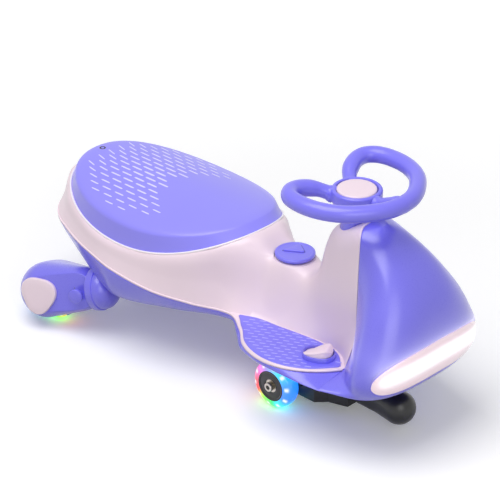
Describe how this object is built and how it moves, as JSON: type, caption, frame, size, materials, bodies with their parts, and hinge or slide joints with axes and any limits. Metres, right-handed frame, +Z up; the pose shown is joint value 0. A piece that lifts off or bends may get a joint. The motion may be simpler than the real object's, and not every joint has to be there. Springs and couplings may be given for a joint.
{
  "type": "wiggle car",
  "caption": "Ride-on wiggle car with a moulded seat body, foot platforms, swivelling front bogie turned by a steering wheel, and rear wheel pods.",
  "frame": {"origin": "on the ground, midway along the car's length, in its middle plane", "axes": "+X forward, towards the headlight; +Y to the rider's left; +Z up"},
  "size_m": [0.7863, 0.379, 0.4118],
  "materials": {
    "violet_plastic": "gloss",
    "lilac_plastic": "gloss",
    "pink_plastic": "satin",
    "black_plastic": "matte",
    "steel": "satin",
    "nylon": "matte",
    "lamp_lens": "gloss",
    "tyre_clear": "gloss",
    "circuit": "matte",
    "battery": "matte",
    "motor": "satin"
  },
  "bodies": {
    "body": {"lower_pan": "violet_plastic", "upper_shell": "pink_plastic", "front_cowl": "violet_plastic", "seat_cover": "lilac_plastic", "headlight_lens": "lamp_lens", "headlight_board": "circuit", "foot_mat_right": "lilac_plastic", "foot_mat_left": "lilac_plastic", "pedal_base": "violet_plastic", "pedal_pin": "steel", "pedal_switch": "black_plastic", "button_bezel": "pink_plastic", "power_switch": "black_plastic", "battery_pack": "battery", "control_board": "circuit", "speaker": "black_plastic", "charge_socket": "black_plastic", "column_guide": "black_plastic", "upper_bush": "nylon", "lower_bush": "nylon", "pod_collar_right": "violet_plastic", "pod_collar_left": "violet_plastic", "rear_pod_right": "violet_plastic", "rear_pod_left": "violet_plastic", "pod_cover_right": "pink_plastic", "pod_cover_left": "pink_plastic", "pod_plug_right": "violet_plastic", "pod_plug_left": "violet_plastic", "gear_motor_right": "motor", "gear_motor_left": "motor", "rear_axle_right": "steel", "rear_axle_left": "steel", "pan_screws": "steel"},
    "steering": {"steering_rim": "lilac_plastic", "steering_hub": "lilac_plastic", "steering_column": "steel", "column_nut": "steel", "front_bogie": "black_plastic", "thrust_washer": "nylon", "anti_tip_arm": "black_plastic", "anti_tip_knob": "black_plastic", "front_axle": "steel"},
    "horn": {"horn_button": "pink_plastic"},
    "power": {"power_button": "lilac_plastic"},
    "pedal": {"accelerator_pedal": "pink_plastic"},
    "front_wheel_right": {"front_hub_right": "black_plastic", "front_tyre_right": "tyre_clear", "front_bearings_right": "steel"},
    "front_wheel_left": {"front_hub_left": "black_plastic", "front_tyre_left": "tyre_clear", "front_bearings_left": "steel"},
    "rear_wheel_right": {"rear_hub_right": "black_plastic", "rear_tyre_right": "tyre_clear", "rear_bearings_right": "steel"},
    "rear_wheel_left": {"rear_hub_left": "black_plastic", "rear_tyre_left": "tyre_clear", "rear_bearings_left": "steel"}
  },
  "joints": [
    {"name": "steer", "type": "hinge", "parent": "body", "child": "steering", "pos_m": [0.213, 0, 0.2], "axis": [0, 0, 1], "continuous": true},
    {"name": "front_roll_right", "type": "hinge", "parent": "steering", "child": "front_wheel_right", "pos_m": [0.12, -0.0775, 0.04], "axis": [0, 1, 0], "continuous": true},
    {"name": "front_roll_left", "type": "hinge", "parent": "steering", "child": "front_wheel_left", "pos_m": [0.12, 0.0775, 0.04], "axis": [0, 1, 0], "continuous": true},
    {"name": "rear_roll_right", "type": "hinge", "parent": "body", "child": "rear_wheel_right", "pos_m": [-0.341, -0.1275, 0.04], "axis": [0, 1, 0], "continuous": true},
    {"name": "rear_roll_left", "type": "hinge", "parent": "body", "child": "rear_wheel_left", "pos_m": [-0.341, 0.1275, 0.04], "axis": [0, 1, 0], "continuous": true},
    {"name": "horn_push", "type": "slide", "parent": "steering", "child": "horn", "axis": [0, 0, -1], "range_m": [0, 0.002], "stiffness_N_per_m": 1500, "springref_m": -0.001},
    {"name": "power_push", "type": "slide", "parent": "body", "child": "power", "axis": [0, 0, -1], "range_m": [0, 0.003], "stiffness_N_per_m": 1500, "springref_m": -0.001},
    {"name": "pedal_press", "type": "hinge", "parent": "body", "child": "pedal", "pos_m": [0.20688, -0.09751, 0.14155], "axis": [-0.4067, 0.9135, 0], "range_deg": [0, 7], "stiffness_Nm_per_rad": 3, "springref_deg": -5.73}
  ]
}
